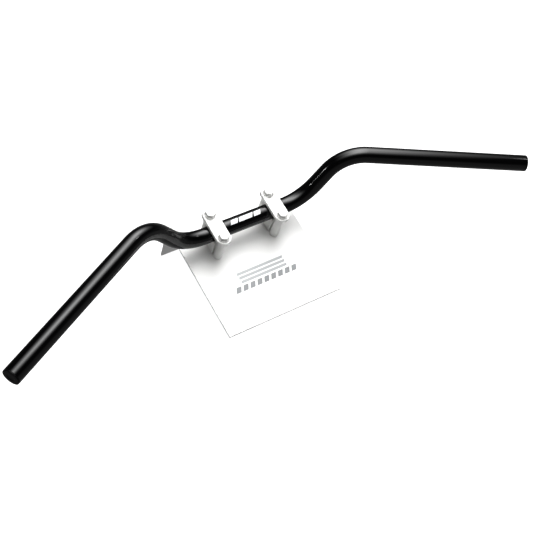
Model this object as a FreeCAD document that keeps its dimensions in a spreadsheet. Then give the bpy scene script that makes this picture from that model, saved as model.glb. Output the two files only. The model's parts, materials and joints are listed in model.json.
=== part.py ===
import FreeCAD, Part
import math
import os

import Sketcher
from FreeCAD import Placement, Rotation, Vector

# Handlebar held on a bent sheet-metal display stand by two straps, each over a saddle and between
# two bolts that run in sleeves.
#
# Frame: millimetres, +X to the rider's right, +Y forward, +Z up. The origin is on the table
# under the middle of the whole object. The rider sits on the -Y side.
# Stand frame: origin on the bar's axis, X as above, Y up along the sloping plate towards its
# rear, Z square to the plate. Clamps, fasteners, stand and badge are drawn in it.

# Driving sizes, in millimetres and degrees.
DRIVING = {
    # bent tube
    "bar_od": 22.2,           # outside diameter, the 7/8 inch standard
    "bar_wall": 2.0,
    "bend_radius": 65.0,      # every bend, on the tube's centreline
    "centre_margin": 5.8,     # straight tube left outside each strap
    "riser_angle": 50.1,      # first bend: the riser leaves the middle at this angle
    "riser_lean": 13.7,       # the riser plane leans back from upright
    "riser_length": 23.4,     # straight between the two bends of one side
    "grip_sweep": 28.4,       # grips point back from straight out
    "grip_drop": 5.7,         # grips point down from level
    "grip_length": 222.0,     # straight tube that takes a grip and the controls
    # end plugs
    "plug_head": 1.6,
    "plug_inset": 0.1,        # the head is this much smaller than the tube, all round
    "plug_chamfer": 0.5,
    "plug_stem": 26.0,
    "plug_play": 0.4,         # between stem and bore
    "rib_fit": 0.05,          # between a rib and the bore, all round
    "plug_wall": 2.2,
    "rib_width": 1.6,
    "rib_pitch": 6.0,
    # clamps
    "clamp_offset": 45.5,     # middle of each clamp from the middle of the bar
    "strap_width": 21.0,
    "strap_thick": 5.5,
    "bar_fit": 0.05,          # between the tube and what holds it
    "saddle_floor": 21.35,    # metal under the bar
    "saddle_width": 12.0,
    "saddle_drop": 4.0,       # from the bar's axis down to the saddle's upper faces
    "saddle_play": 0.2,       # between the saddle and a sleeve
    "sleeve_od": 12.0,
    "sleeve_gap": 1.9,        # between the tube and a sleeve
    "edge_round": 1.0,
    # fasteners
    "bolt_dia": 8.0,
    "bolt_play": 0.25,        # between bolt and hole, all round
    "bolt_flats": 13.0,
    "bolt_head": 5.3,
    "bolt_past_nut": 2.15,
    "bolt_tip": 1.0,
    "chamfer_inset": 0.325,   # from the flats in to the flat face inside the corner chamfer
    "chamfer_angle": 30.0,    # slope of the corner chamfer on hexagons
    "thread_play": 0.02,      # between bolt and nut, all round
    "washer_od": 16.0,
    "washer_thick": 1.6,
    "nut_height": 8.0,
    "nut_hex": 5.8,           # height of the hexagon, the rest is the collar
    "collar_inset": 0.4,      # the collar is this much smaller than the flats, all round
    "insert_height": 1.8,     # nylon ring inside the collar
    "insert_wall": 0.9,
    # stand
    "plate_width": 177.0,
    "plate_front": 131.9,     # from under the bar's axis to the front edge
    "plate_rear": 46.3,       # from under the bar's axis to the outside of the bend
    "flange_depth": 74.5,     # from the plate's top face to the flange's foot
    "sheet_thick": 2.5,
    "sheet_bend": 2.5,        # inside radius of the bend
    # printed films
    "film_thick": 0.15,
    "badge_front": 81.0,      # from under the bar's axis to the badge's lower edge
    "badge_length": 99.0,
    "dash_height": 8.0,
    "dash_width": 7.4,
    "dash_count": 9,
    "stripe_gap": 3.0,        # between the dashes and the first stripe
    "stripe_height": 3.8,
    "stripe_pitch": 6.2,
    "stripe_count": 3,
    "stripe_length": 72.0,
    "film_slant": 0.5,        # sideways lean of the printed shapes, per unit of height
    "decal_length": 46.0,
    "decal_height": 6.5,
    "decal_gap": 2.4,
    "decal_turn": 25.0,       # from the top of the bar towards the rider
}

SIDES = {"left": -1, "right": 1}
ENDS = {"front": -1, "rear": 1}
TOUCH = 1e-6                  # places nearer than this are the same


def riser_direction(size):
    angle = math.radians(size["riser_angle"])
    lean = math.radians(size["riser_lean"])
    return Vector(math.cos(angle), -math.sin(angle) * math.sin(lean), math.sin(angle) * math.cos(lean))


def grip_direction(size):
    sweep = math.radians(size["grip_sweep"])
    drop = math.radians(size["grip_drop"])
    return Vector(math.cos(drop) * math.cos(sweep), -math.cos(drop) * math.sin(sweep), -math.sin(drop))


def half_centreline(size):
    """Points of the right half, from the first bend outwards: each arc as start, middle, end."""
    along = Vector(1, 0, 0)
    point = Vector(size["clamp_offset"] + size["strap_width"] / 2 + size["centre_margin"], 0, 0)
    arcs = []
    for leaving in (riser_direction(size), grip_direction(size)):
        turn = along.getAngle(leaving)
        tangent = size["bend_radius"] * math.tan(turn / 2)
        corner = point + along * tangent
        end = corner + leaving * tangent
        inward = (leaving - along).normalize()
        middle = corner + inward * size["bend_radius"] * (1 / math.cos(turn / 2) - 1)
        arcs.append((point, middle, end))
        point = end + leaving * size["riser_length"]
        along = leaving
    tube_end = arcs[1][2] + along * size["grip_length"]
    return arcs, tube_end


def derive(size):
    """Sizes and places that follow from the driving ones."""
    size["bolt_offset"] = size["bar_od"] / 2 + size["sleeve_gap"] + size["sleeve_od"] / 2
    size["strap_base"] = size["bar_od"] / 2 + size["bar_fit"]
    size["strap_top"] = size["strap_base"] + size["strap_thick"]
    size["axis_height"] = size["bar_od"] / 2 + size["bar_fit"] + size["saddle_floor"]
    size["under_plate"] = size["axis_height"] + size["sheet_thick"]
    size["bolt_length"] = (size["strap_top"] + size["under_plate"] + 2 * size["washer_thick"]
                           + size["nut_height"] + size["bolt_past_nut"])
    # The stand rests on the lower corner of its front edge and the inner corner of its flange.
    size["tilt"] = math.degrees(math.atan2(size["flange_depth"] - size["sheet_thick"],
                                           size["plate_front"] + size["plate_rear"] - size["sheet_thick"]))
    tilt = math.radians(size["tilt"])
    size["axis_z"] = size["plate_front"] * math.sin(tilt) + size["under_plate"] * math.cos(tilt)
    tube_end = half_centreline(size)[1]
    outward = grip_direction(size)
    head_edge = tube_end.y + outward.y * (size["plug_head"] - size["plug_chamfer"])
    nearest = head_edge - (size["bar_od"] / 2 - size["plug_inset"]) * math.hypot(outward.x, outward.z)
    farthest = (size["plate_rear"] * math.cos(tilt)
                + (size["axis_height"] + size["flange_depth"]) * math.sin(tilt))
    size["axis_y"] = -(nearest + farthest) / 2


def fill_sheet(doc, size):
    sheet = doc.addObject("Spreadsheet::Sheet", "sheet")
    for row, (alias, value) in enumerate(size.items(), start=1):
        sheet.set(f"A{row}", repr(round(value, 6)))
        sheet.setAlias(f"A{row}", alias)
    doc.recompute()


def bind(thing, **expressions):
    """Bind properties to sheet cells; a double underscore stands for a dot."""
    for name, expression in expressions.items():
        thing.setExpression(name.replace("__", "."), expression)


def turn_about_x(thing, angle):
    """Turn a piece about X; a piece keeps its axis only if it is turned before the angle is bound."""
    thing.Placement = Placement(Vector(), Rotation(Vector(1, 0, 0), 1))
    bind(thing, Placement__Rotation__Angle=angle)


def seat(thing, x="0", along="0", above="0"):
    """Put a piece in the stand frame at x, a distance along the plate, and a height above the axis."""
    turn_about_x(thing, "sheet.tilt")
    bind(
        thing,
        Placement__Base__x=x,
        Placement__Base__y=f"sheet.axis_y + ({along}) * cos(sheet.tilt) - ({above}) * sin(sheet.tilt)",
        Placement__Base__z=f"sheet.axis_z + ({along}) * sin(sheet.tilt) + ({above}) * cos(sheet.tilt)",
    )


# ---- sketches ---------------------------------------------------------------------------------

def new_sketch(body, name, role, height=None):
    """A sketch on one of the body's own origin planes, raised by an expression if one is given."""
    sketch = body.newObject("Sketcher::SketchObject", name)
    plane = [feature for feature in body.Origin.OriginFeatures if feature.Role == role][0]
    sketch.AttachmentSupport = [(plane, "")]
    sketch.MapMode = "FlatFace"
    if height:
        bind(sketch, AttachmentOffset__Base__z=height)
    return sketch


def fix_point(sketch, geometry, end, x, y):
    """Hold one point of the geometry at x, y from the sketch's origin."""
    spot = sketch.getPoint(geometry, end)
    for kind, drawn, value in (("DistanceX", spot.x, x), ("DistanceY", spot.y, y)):
        index = sketch.addConstraint(Sketcher.Constraint(kind, -1, 1, geometry, end, drawn))
        sketch.setExpression(f"Constraints[{index}]", value)


def draw_polygon(sketch, corners):
    """A closed outline whose corners are pairs of expressions."""
    count = len(corners)
    first = sketch.GeometryCount
    spots = [Vector(math.cos(k * math.tau / count), math.sin(k * math.tau / count), 0) for k in range(count)]
    for k in range(count):
        sketch.addGeometry(Part.LineSegment(spots[k], spots[(k + 1) % count]), False)
    for k in range(count):
        sketch.addConstraint(Sketcher.Constraint("Coincident", first + k, 2, first + (k + 1) % count, 1))
    for k, (x, y) in enumerate(corners):
        fix_point(sketch, first + k, 1, x, y)


def draw_circle(sketch, x, y, radius):
    circle = sketch.addGeometry(Part.Circle(Vector(0, 0, 0), Vector(0, 0, 1), 1.0), False)
    fix_point(sketch, circle, 3, x, y)
    index = sketch.addConstraint(Sketcher.Constraint("Radius", circle, 1.0))
    sketch.setExpression(f"Constraints[{index}]", radius)


def draw_slot(sketch, size):
    """Round-ended outline along Y around the two bolt places."""
    half = size["strap_width"] / 2
    reach = size["bolt_offset"]
    up = Vector(0, 0, 1)
    rear = Part.ArcOfCircle(Part.Circle(Vector(0, reach, 0), up, half), 0, math.pi)
    front = Part.ArcOfCircle(Part.Circle(Vector(0, -reach, 0), up, half), math.pi, math.tau)
    sketch.addGeometry(rear, False)
    sketch.addGeometry(Part.LineSegment(Vector(-half, reach, 0), Vector(-half, -reach, 0)), False)
    sketch.addGeometry(front, False)
    sketch.addGeometry(Part.LineSegment(Vector(half, -reach, 0), Vector(half, reach, 0)), False)
    for first, second in ((0, 1), (1, 2), (2, 3), (3, 0)):
        sketch.addConstraint(Sketcher.Constraint("Tangent", first, 2, second, 1))
    sketch.addConstraint(Sketcher.Constraint("Equal", 0, 2))
    fix_point(sketch, 0, 3, "0", "sheet.bolt_offset")
    fix_point(sketch, 2, 3, "0", "-sheet.bolt_offset")
    index = sketch.addConstraint(Sketcher.Constraint("Radius", 0, half))
    sketch.setExpression(f"Constraints[{index}]", "sheet.strap_width / 2")


def pad(body, sketch, name, length, both_ways=False, downwards=False):
    feature = body.newObject("PartDesign::Pad", name)
    feature.Profile = sketch
    feature.SideType = "Symmetric" if both_ways else "One side"
    feature.Reversed = downwards
    bind(feature, Length=length)
    return feature


def cut_through(body, sketch, name):
    feature = body.newObject("PartDesign::Pocket", name)
    feature.Profile = sketch
    feature.SideType = "Symmetric"
    feature.Type = "ThroughAll"
    return feature


def edges_where(shape, test):
    return [f"Edge{k}" for k, edge in enumerate(shape.Edges, start=1) if test(edge)]


def round_edges(doc, body, base, name, test, radius):
    doc.recompute()
    feature = body.newObject("PartDesign::Fillet", name)
    feature.Base = (base, edges_where(base.Shape, test))
    bind(feature, Radius=radius)
    return feature


# ---- bar --------------------------------------------------------------------------------------

def bar_centreline(doc, size):
    """The whole centreline from the left end to the right end, straight runs and tangent arcs."""
    arcs, tube_end = half_centreline(size)

    def left(point):
        return Vector(-point.x, point.y, point.z)

    outward = [spot for arc in arcs for spot in arc] + [tube_end]
    spots = [left(spot) for spot in reversed(outward)] + outward
    # Each side has end, arc, arc: runs join spots 0-1, 3-4, 6-7, 9-10, 12-13 and arcs lie between.
    edges = []
    for run in range(0, len(spots) - 1, 3):
        edges.append(Part.LineSegment(spots[run], spots[run + 1]).toShape())
        if run + 3 < len(spots):
            edges.append(Part.Arc(*spots[run + 1:run + 4]).toShape())
    line = doc.addObject("Part::Feature", "bar_centreline")
    line.Shape = Part.Wire(edges)
    start = Placement(spots[0], Rotation(Vector(0, 0, 1), spots[1] - spots[0]))
    return line, start


def swept_rod(doc, name, line, start, radius):
    circle = doc.addObject("Part::Circle", name + "_section")
    circle.Placement = start
    bind(circle, Radius=radius)
    rod = doc.addObject("Part::Sweep", name)
    rod.Sections = [circle]
    rod.Spine = (line, [f"Edge{k + 1}" for k in range(len(line.Shape.Edges))])
    rod.Solid = True
    return rod


def handlebar_tube(doc, size):
    line, start = bar_centreline(doc, size)
    tube = doc.addObject("Part::Cut", "handlebar_tube")
    tube.Base = swept_rod(doc, "tube_outside", line, start, "sheet.bar_od / 2")
    tube.Tool = swept_rod(doc, "tube_bore", line, start, "sheet.bar_od / 2 - sheet.bar_wall")
    bind(tube, Placement__Base__y="sheet.axis_y", Placement__Base__z="sheet.axis_z")
    return tube


def cylinder(doc, name, radius, height, bottom="0"):
    solid = doc.addObject("Part::Cylinder", name)
    bind(solid, Radius=radius, Height=height, Placement__Base__z=bottom)
    return solid


def cone(doc, name, lower, upper, height, bottom="0"):
    solid = doc.addObject("Part::Cone", name)
    bind(solid, Radius1=lower, Radius2=upper, Height=height, Placement__Base__z=bottom)
    return solid


def join(doc, name, shapes):
    fused = doc.addObject("Part::MultiFuse", name)
    fused.Shapes = shapes
    fused.Refine = True
    return fused


def cut(doc, name, base, tool):
    result = doc.addObject("Part::Cut", name)
    result.Base = base
    result.Tool = tool
    return result


def end_plug(doc, side, size):
    """Push-in plug: chamfered head, hollow stem with ribs that fill the bore. Z points outwards."""
    name = f"{side}_end_plug"
    head = "sheet.bar_od / 2 - sheet.plug_inset"
    bore = "sheet.bar_od / 2 - sheet.bar_wall"
    stem = f"({bore} - sheet.plug_play)"
    pieces = [
        cylinder(doc, name + "_head", head, "sheet.plug_head - sheet.plug_chamfer"),
        cone(doc, name + "_face", head, f"{head} - sheet.plug_chamfer", "sheet.plug_chamfer",
             "sheet.plug_head - sheet.plug_chamfer"),
        cylinder(doc, name + "_stem", stem, "sheet.plug_stem", "-sheet.plug_stem"),
    ]
    for k in range(1, int(size["plug_stem"] / size["rib_pitch"]) + 1):
        pieces.append(cylinder(doc, f"{name}_rib{k}", f"{bore} - sheet.rib_fit", "sheet.rib_width",
                               f"-{k} * sheet.rib_pitch"))
    core = cylinder(doc, name + "_core", f"{stem} - sheet.plug_wall", "sheet.plug_stem", "-sheet.plug_stem")
    plug = cut(doc, name, join(doc, name + "_solid", pieces), core)
    tube_end = half_centreline(size)[1]
    outward = grip_direction(size)
    mirror = SIDES[side]
    plug.Placement = Placement(
        Vector(mirror * tube_end.x, tube_end.y + size["axis_y"], tube_end.z + size["axis_z"]),
        Rotation(Vector(0, 0, 1), Vector(mirror * outward.x, outward.y, outward.z)),
    )
    return plug


def centre_decal(doc):
    """Printed film on the tube: three slanted blocks, the middle one as long as the outer two."""
    slant = "sheet.film_slant * sheet.decal_height / 2"
    block = "(sheet.decal_length - 2 * sheet.decal_gap) / 4"
    spans = (
        ("-sheet.decal_length / 2", f"-{block} - sheet.decal_gap"),
        (f"-{block}", block),
        (f"{block} + sheet.decal_gap", "sheet.decal_length / 2"),
    )
    body = doc.addObject("PartDesign::Body", "decal_blocks")
    body.AllowCompound = True
    plan = new_sketch(body, "decal_plan", "XY_Plane")
    for low, high in spans:
        draw_polygon(plan, [
            (f"{low} - {slant}", "-sheet.decal_height / 2"),
            (f"{high} - {slant}", "-sheet.decal_height / 2"),
            (f"{high} + {slant}", "sheet.decal_height / 2"),
            (f"{low} + {slant}", "sheet.decal_height / 2"),
        ])
    pad(body, plan, "decal_pad", "sheet.bar_od")
    ring_outside = cylinder(doc, "film_outside", "sheet.bar_od / 2 + sheet.film_thick",
                            "2 * sheet.decal_length")
    ring_inside = cylinder(doc, "film_inside", "sheet.bar_od / 2", "2 * sheet.decal_length")
    ring = cut(doc, "film_ring", ring_outside, ring_inside)
    ring.Placement.Rotation = Rotation(Vector(0, 1, 0), 90)
    bind(ring, Placement__Base__x="-sheet.decal_length")
    decal = doc.addObject("Part::Common", "centre_decal")
    decal.Base = ring
    decal.Tool = body
    turn_about_x(decal, "sheet.decal_turn")
    bind(decal, Placement__Base__y="sheet.axis_y", Placement__Base__z="sheet.axis_z")
    return decal


# ---- clamps -----------------------------------------------------------------------------------

def clamp_strap(doc, side, size):
    """Flat strap with round ends that lies on the tube and on two sleeves."""
    name = f"{side}_clamp_strap"
    body = doc.addObject("PartDesign::Body", name)
    plan = new_sketch(body, name + "_plan", "XY_Plane", "sheet.strap_base")
    draw_slot(plan, size)
    pad(body, plan, name + "_pad", "sheet.strap_thick")
    holes = new_sketch(body, name + "_holes", "XY_Plane")
    for sign in ("-", ""):
        draw_circle(holes, "0", f"{sign}sheet.bolt_offset", "sheet.bolt_dia / 2 + sheet.bolt_play")
    drilled = cut_through(body, holes, name + "_holes_cut")
    seat(body, x=f"{SIDES[side]} * sheet.clamp_offset")

    def on_top_outline(edge):
        box = edge.BoundBox
        level = max(abs(box.ZMin - size["strap_top"]), abs(box.ZMax - size["strap_top"])) < TOUCH
        return level and max(abs(box.XMin), abs(box.XMax)) > size["strap_width"] / 2 - TOUCH

    round_edges(doc, body, drilled, name + "_round", on_top_outline, "sheet.edge_round")
    return body


def clamp_saddle(doc, side):
    """Block between two sleeves whose half-round seat carries the tube."""
    name = f"{side}_clamp_saddle"
    half = "(sheet.bolt_offset - sheet.sleeve_od / 2 - sheet.saddle_play)"
    body = doc.addObject("PartDesign::Body", name)
    profile = new_sketch(body, name + "_profile", "YZ_Plane")
    draw_polygon(profile, [
        (f"-{half}", "-sheet.axis_height"),
        (half, "-sheet.axis_height"),
        (half, "-sheet.saddle_drop"),
        (f"-{half}", "-sheet.saddle_drop"),
    ])
    pad(body, profile, name + "_pad", "sheet.saddle_width", both_ways=True)
    trough = new_sketch(body, name + "_trough", "YZ_Plane")
    draw_circle(trough, "0", "0", "sheet.bar_od / 2 + sheet.bar_fit")
    cut_through(body, trough, name + "_trough_cut")
    seat(body, x=f"{SIDES[side]} * sheet.clamp_offset")
    return body


def sleeve(doc, side, end):
    """Tube round a bolt that keeps the strap at its height above the plate."""
    name = f"{side}_{end}_sleeve"
    height = "sheet.axis_height + sheet.strap_base"
    outside = cylinder(doc, name + "_outside", "sheet.sleeve_od / 2", height)
    bore = cylinder(doc, name + "_bore", "sheet.bolt_dia / 2 + sheet.bolt_play", height)
    tube = cut(doc, name, outside, bore)
    seat(tube, *bolt_place(side, end), "-sheet.axis_height")
    return tube


# ---- fasteners --------------------------------------------------------------------------------

def hexagon(doc, name, height, bottom="0"):
    """Hexagonal block across the bolt's flats with its upper corners cut at the usual angle."""
    prism = doc.addObject("Part::Prism", name + "_prism")
    prism.Polygon = 6
    bind(prism, Circumradius="sheet.bolt_flats / 2 / cos(30)", Height=height, Placement__Base__z=bottom)
    face = "sheet.bolt_flats / 2 - sheet.chamfer_inset"
    cutter = cone(doc, name + "_cutter", f"{face} + ({height}) / tan(sheet.chamfer_angle)", face, height,
                  bottom)
    block = doc.addObject("Part::Common", name)
    block.Base = prism
    block.Tool = cutter
    return block


def hex_bolt(doc, side, end):
    """Hex bolt whose head rests on the strap's washer; Z points up out of the head."""
    name = f"{side}_{end}_bolt"
    shank = "sheet.bolt_length - sheet.bolt_tip"
    radius = "sheet.bolt_dia / 2"
    bolt = join(doc, name, [
        hexagon(doc, name + "_head", "sheet.bolt_head"),
        cylinder(doc, name + "_shank", radius, shank, f"-({shank})"),
        cone(doc, name + "_tip", f"{radius} - sheet.bolt_tip", radius, "sheet.bolt_tip",
             "-sheet.bolt_length"),
    ])
    seat(bolt, *bolt_place(side, end), "sheet.strap_top + sheet.washer_thick")
    return bolt


def bolt_place(side, end):
    return f"{SIDES[side]} * sheet.clamp_offset", f"{ENDS[end]} * sheet.bolt_offset"


def washer(doc, side, end, where, bottom):
    name = f"{side}_{end}_{where}_washer"
    disc = cylinder(doc, name + "_disc", "sheet.washer_od / 2", "sheet.washer_thick")
    hole = cylinder(doc, name + "_hole", "sheet.bolt_dia / 2 + sheet.bolt_play", "sheet.washer_thick")
    ring = cut(doc, name, disc, hole)
    seat(ring, *bolt_place(side, end), bottom)
    return ring


def lock_nut(doc, side, end):
    """Hexagon with a round collar that holds a nylon ring; Z points up to the plate."""
    name = f"{side}_{end}_lock_nut"
    outside = "sheet.bolt_flats / 2 - sheet.collar_inset"
    hexagonal = hexagon(doc, name + "_hex", "sheet.nut_hex", "-sheet.nut_hex")
    collar = cylinder(doc, name + "_collar", outside, "sheet.nut_height - sheet.nut_hex", "-sheet.nut_height")
    hole = cylinder(doc, name + "_hole", "sheet.bolt_dia / 2 + sheet.thread_play", "sheet.nut_height",
                    "-sheet.nut_height")
    pocket = cylinder(doc, name + "_pocket", "sheet.bolt_dia / 2 + sheet.thread_play + sheet.insert_wall",
                      "sheet.insert_height", "-sheet.nut_height")
    nut = cut(doc, name, join(doc, name + "_solid", [hexagonal, collar]),
              join(doc, name + "_inside", [hole, pocket]))
    seat(nut, *bolt_place(side, end), "-(sheet.under_plate + sheet.washer_thick)")
    return nut


def lock_nut_inserts(doc):
    """The nylon rings of all the lock nuts."""
    rings = []
    for side in SIDES:
        for end in ENDS:
            name = f"{side}_{end}_insert"
            outside = cylinder(doc, name + "_disc",
                               "sheet.bolt_dia / 2 + sheet.thread_play + sheet.insert_wall",
                               "sheet.insert_height")
            hole = cylinder(doc, name + "_hole", "sheet.bolt_dia / 2 + sheet.thread_play",
                            "sheet.insert_height")
            ring = cut(doc, name, outside, hole)
            seat(ring, *bolt_place(side, end),
                 "-(sheet.under_plate + sheet.washer_thick + sheet.nut_height)")
            rings.append(ring)
    group = doc.addObject("Part::Compound", "lock_nut_inserts")
    group.Links = rings
    return group


# ---- stand ------------------------------------------------------------------------------------

def display_stand(doc, size):
    """One sheet bent square: a sloping plate with four bolt holes, and a flange behind it."""
    body = doc.addObject("PartDesign::Body", "display_stand")
    profile = new_sketch(body, "stand_profile", "YZ_Plane")
    draw_polygon(profile, [
        ("-sheet.plate_front", "-sheet.axis_height"),
        ("-sheet.plate_front", "-sheet.under_plate"),
        ("sheet.plate_rear - sheet.sheet_thick", "-sheet.under_plate"),
        ("sheet.plate_rear - sheet.sheet_thick", "-(sheet.axis_height + sheet.flange_depth)"),
        ("sheet.plate_rear", "-(sheet.axis_height + sheet.flange_depth)"),
        ("sheet.plate_rear", "-sheet.axis_height"),
    ])
    pad(body, profile, "stand_pad", "sheet.plate_width", both_ways=True)
    holes = new_sketch(body, "stand_holes", "XY_Plane")
    for side in SIDES:
        for end in ENDS:
            draw_circle(holes, *bolt_place(side, end), "sheet.bolt_dia / 2 + sheet.bolt_play")
    drilled = cut_through(body, holes, "stand_holes_cut")

    def at_corner(along, below):
        def test(edge):
            box = edge.BoundBox
            flat = max(abs(box.YMin - along), abs(box.YMax - along)) < TOUCH
            return flat and max(abs(box.ZMin + below), abs(box.ZMax + below)) < TOUCH
        return test

    inner = at_corner(size["plate_rear"] - size["sheet_thick"], size["under_plate"])
    outer = at_corner(size["plate_rear"], size["axis_height"])
    inside = round_edges(doc, body, drilled, "bend_inside", inner, "sheet.sheet_bend")
    round_edges(doc, body, inside, "bend_outside", outer, "sheet.sheet_bend + sheet.sheet_thick")
    seat(body)
    return body


def stand_badge(doc):
    """Printed film on the plate: a row of slanted dashes with three slanted stripes above it."""
    body = doc.addObject("PartDesign::Body", "stand_badge")
    body.AllowCompound = True

    def slanted_bar(name, left_edge, lower, width, height):
        sketch = new_sketch(body, name, "XY_Plane", "-sheet.axis_height")
        lean = f"sheet.film_slant * ({height})"
        draw_polygon(sketch, [
            (left_edge, lower),
            (f"{left_edge} + {width}", lower),
            (f"{left_edge} + {width} + {lean}", f"{lower} + {height}"),
            (f"{left_edge} + {lean}", f"{lower} + {height}"),
        ])
        return sketch, pad(body, sketch, name + "_pad", "sheet.film_thick")

    def repeat(feature, name, direction, length, count):
        pattern = body.newObject("PartDesign::LinearPattern", name)
        pattern.Originals = [feature]
        pattern.Direction = direction
        bind(pattern, Length=length, Occurrences=count)
        body.Tip = pattern

    dash, dash_pad = slanted_bar("badge_dash", "-sheet.badge_length / 2", "-sheet.badge_front",
                                 "sheet.dash_width", "sheet.dash_height")
    repeat(dash_pad, "badge_dashes", (dash, ["H_Axis"]),
           "sheet.badge_length - sheet.dash_width - sheet.film_slant * sheet.dash_height", "sheet.dash_count")
    stripe, stripe_pad = slanted_bar(
        "badge_stripe", "-sheet.stripe_length / 2",
        "-sheet.badge_front + sheet.dash_height + sheet.stripe_gap", "sheet.stripe_length",
        "sheet.stripe_height")
    repeat(stripe_pad, "badge_stripes", (stripe, ["V_Axis"]),
           "(sheet.stripe_count - 1) * sheet.stripe_pitch", "sheet.stripe_count")
    seat(body)
    return body


# ---- document ---------------------------------------------------------------------------------

def build(doc, size):
    nodes = [handlebar_tube(doc, size), centre_decal(doc), display_stand(doc, size), stand_badge(doc)]
    for side in SIDES:
        nodes.append(end_plug(doc, side, size))
        nodes.append(clamp_strap(doc, side, size))
        nodes.append(clamp_saddle(doc, side))
        for end in ENDS:
            nodes.append(hex_bolt(doc, side, end))
            nodes.append(sleeve(doc, side, end))
            nodes.append(washer(doc, side, end, "strap", "sheet.strap_top"))
            nodes.append(washer(doc, side, end, "plate", "-(sheet.under_plate + sheet.washer_thick)"))
            nodes.append(lock_nut(doc, side, end))
    nodes.append(lock_nut_inserts(doc))
    return nodes


def check(doc, nodes):
    for thing in doc.Objects:
        if "Invalid" in thing.State or "Error" in thing.State:
            raise RuntimeError(f"{thing.Name} did not compute: {thing.State}")
    for node in nodes:
        if node.Shape.isNull() or not node.Shape.isValid() or not node.Shape.Solids:
            raise RuntimeError(f"{node.Label} has no valid shape")


def main():
    size = dict(DRIVING)
    derive(size)
    doc = FreeCAD.newDocument("handlebar")
    fill_sheet(doc, size)
    nodes = build(doc, size)
    doc.recompute()
    check(doc, nodes)
    os.makedirs("parts", exist_ok=True)
    for node in nodes:
        node.Label = node.Name
        node.Shape.exportStep(f"parts/{node.Label}.step")
        print(f"{node.Label:28s} solids {len(node.Shape.Solids):2d} volume {node.Shape.Volume:11.1f} mm3")


main()
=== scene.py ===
import json
import math

import bmesh
import bpy
import numpy as np
from bpy.props import FloatProperty, FloatVectorProperty, IntProperty, PointerProperty
from mathutils import Matrix

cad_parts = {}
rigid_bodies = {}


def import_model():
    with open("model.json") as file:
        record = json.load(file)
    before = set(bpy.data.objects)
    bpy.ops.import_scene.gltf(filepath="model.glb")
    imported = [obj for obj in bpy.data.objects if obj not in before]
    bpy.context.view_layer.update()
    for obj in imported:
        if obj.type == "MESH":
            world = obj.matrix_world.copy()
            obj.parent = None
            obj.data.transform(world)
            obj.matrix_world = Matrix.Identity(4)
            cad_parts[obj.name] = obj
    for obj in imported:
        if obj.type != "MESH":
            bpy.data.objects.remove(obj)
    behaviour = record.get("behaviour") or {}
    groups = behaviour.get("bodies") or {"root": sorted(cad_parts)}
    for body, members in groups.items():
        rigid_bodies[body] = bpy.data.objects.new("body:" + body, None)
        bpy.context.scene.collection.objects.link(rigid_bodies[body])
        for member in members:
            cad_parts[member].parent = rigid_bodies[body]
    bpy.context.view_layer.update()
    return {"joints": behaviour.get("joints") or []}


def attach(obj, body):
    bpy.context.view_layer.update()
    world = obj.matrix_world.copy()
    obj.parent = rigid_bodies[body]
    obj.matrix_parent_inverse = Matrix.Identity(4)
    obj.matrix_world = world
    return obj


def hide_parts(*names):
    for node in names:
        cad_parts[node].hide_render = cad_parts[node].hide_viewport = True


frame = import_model()
AXIS = np.array(frame["joints"][0]["pos_m"])   # middle of the bar's straight centre

bl_info = {
    "name": "Handlebar on a display stand",
    "version": (1, 0, 0),
    "blender": (4, 5, 0),
    "location": "View3D > Sidebar > Handlebar",
    "description": "Builds the visible surfaces of a bent-tube handlebar, its straps and its stand",
    "category": "Object",
}

# Everything is in metres. The stand frame has its origin on the bar's axis: x to the right,
# along = up the sloping plate, above = square to the plate.

SIDES = {"left": -1, "right": 1}
ENDS = {"front": -1, "rear": 1}
ARC_STEP = math.radians(1.5)     # turn between two stations of a bend
ROUND_SIDES = 96                 # points round the tube, the bolts and the nuts
TURNED_SIDES = 72                # points round the sleeves, washers and plugs
HOLE_SIDES = 48                  # points round a bolt hole


def linear(code):
    """Linear RGBA of an sRGB hex code."""
    values = np.array([int(code[k:k + 2], 16) for k in (1, 3, 5)]) / 255
    curve = np.where(values <= 0.04045, values / 12.92, ((values + 0.055) / 1.055) ** 2.4)
    return (*curve.tolist(), 1.0)


def length(name, description, default):
    """A size in metres that a user would change."""
    return FloatProperty(name=name, description=description, default=default, min=0.0, unit="LENGTH",
                         precision=5)


def angle(name, description, degrees):
    return FloatProperty(name=name, description=description, default=math.radians(degrees),
                         unit="ROTATION", subtype="ANGLE")


def colour(name, description, code):
    return FloatVectorProperty(name=name, description=description, default=linear(code), size=4,
                               subtype="COLOR", min=0.0, max=1.0)


# ---- sizes and colours ------------------------------------------------------------------------

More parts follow.
